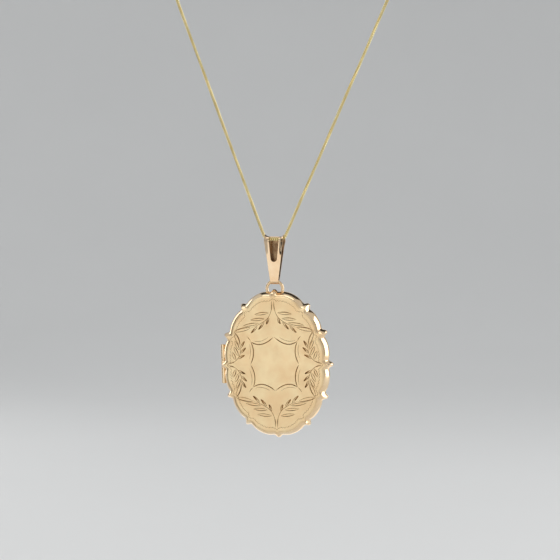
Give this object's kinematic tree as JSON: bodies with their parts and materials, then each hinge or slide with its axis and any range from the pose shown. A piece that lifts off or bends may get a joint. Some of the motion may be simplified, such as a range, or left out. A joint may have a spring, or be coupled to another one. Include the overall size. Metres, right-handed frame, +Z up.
{
  "type": "locket",
  "caption": "Oval hinged family locket with a scalloped edge and engraved front, hanging by a folded bail from a fine curb chain held in a V.",
  "frame": {"origin": "middle of the chain where it lies in the bail", "axes": "+X to the right across the locket, -Y out of the engraved front, +Z up"},
  "size_m": [0.0571, 0.0049, 0.1095],
  "materials": {
    "satin_gold": "satin engraved gold with a polished edge",
    "polished_gold": "polished gold",
    "chain_gold": "polished yellow gold",
    "clear_window": "clear acetate",
    "photo_card": "matt card",
    "spring_steel": "bright wire"
  },
  "bodies": {
    "chain": {"chain": "chain_gold", "left_jump_ring": "chain_gold", "bolt_ring_body": "chain_gold", "bolt_ring_eye": "chain_gold", "bolt_ring_spring": "spring_steel", "right_jump_ring": "chain_gold", "chain_end_ring": "chain_gold"},
    "clasp_bolt": {"bolt_ring_bolt": "chain_gold", "bolt_ring_knob": "chain_gold"},
    "bail": {"bail": "polished_gold"},
    "locket_back": {"back_cover": "polished_gold", "back_knuckles": "polished_gold", "hinge_pin": "polished_gold", "snap_rim": "polished_gold", "back_photo_frame": "polished_gold", "back_window": "clear_window", "back_photo_card": "photo_card", "hanging_ring": "polished_gold"},
    "locket_front": {"front_cover": "satin_gold", "front_knuckle": "polished_gold", "front_photo_frame": "polished_gold", "front_window": "clear_window", "front_photo_card": "photo_card"}
  },
  "joints": [
    {"name": "bail_swing", "type": "hinge", "parent": "chain", "child": "bail", "pos_m": [0, 0, 0], "axis": [1, 0, 0], "range_deg": [-45, 45]},
    {"name": "locket_swing", "type": "hinge", "parent": "bail", "child": "locket_back", "pos_m": [0, 0, -0.0095], "axis": [1, 0, 0], "range_deg": [-40, 40]},
    {"name": "locket_open", "type": "hinge", "parent": "locket_back", "child": "locket_front", "pos_m": [-0.01207, -0.00002, -0.02867], "axis": [0.0279, 0.0227, -0.9994], "range_deg": [0, 175]},
    {"name": "clasp_slide", "type": "hinge", "parent": "chain", "child": "clasp_bolt", "pos_m": [-0.02557, 0, 0.06146], "axis": [0, -1, 0], "range_deg": [0, 40], "stiffness_Nm_per_rad": 0.0005, "springref_deg": -17.19, "deforming": ["bolt_ring_spring"]}
  ]
}
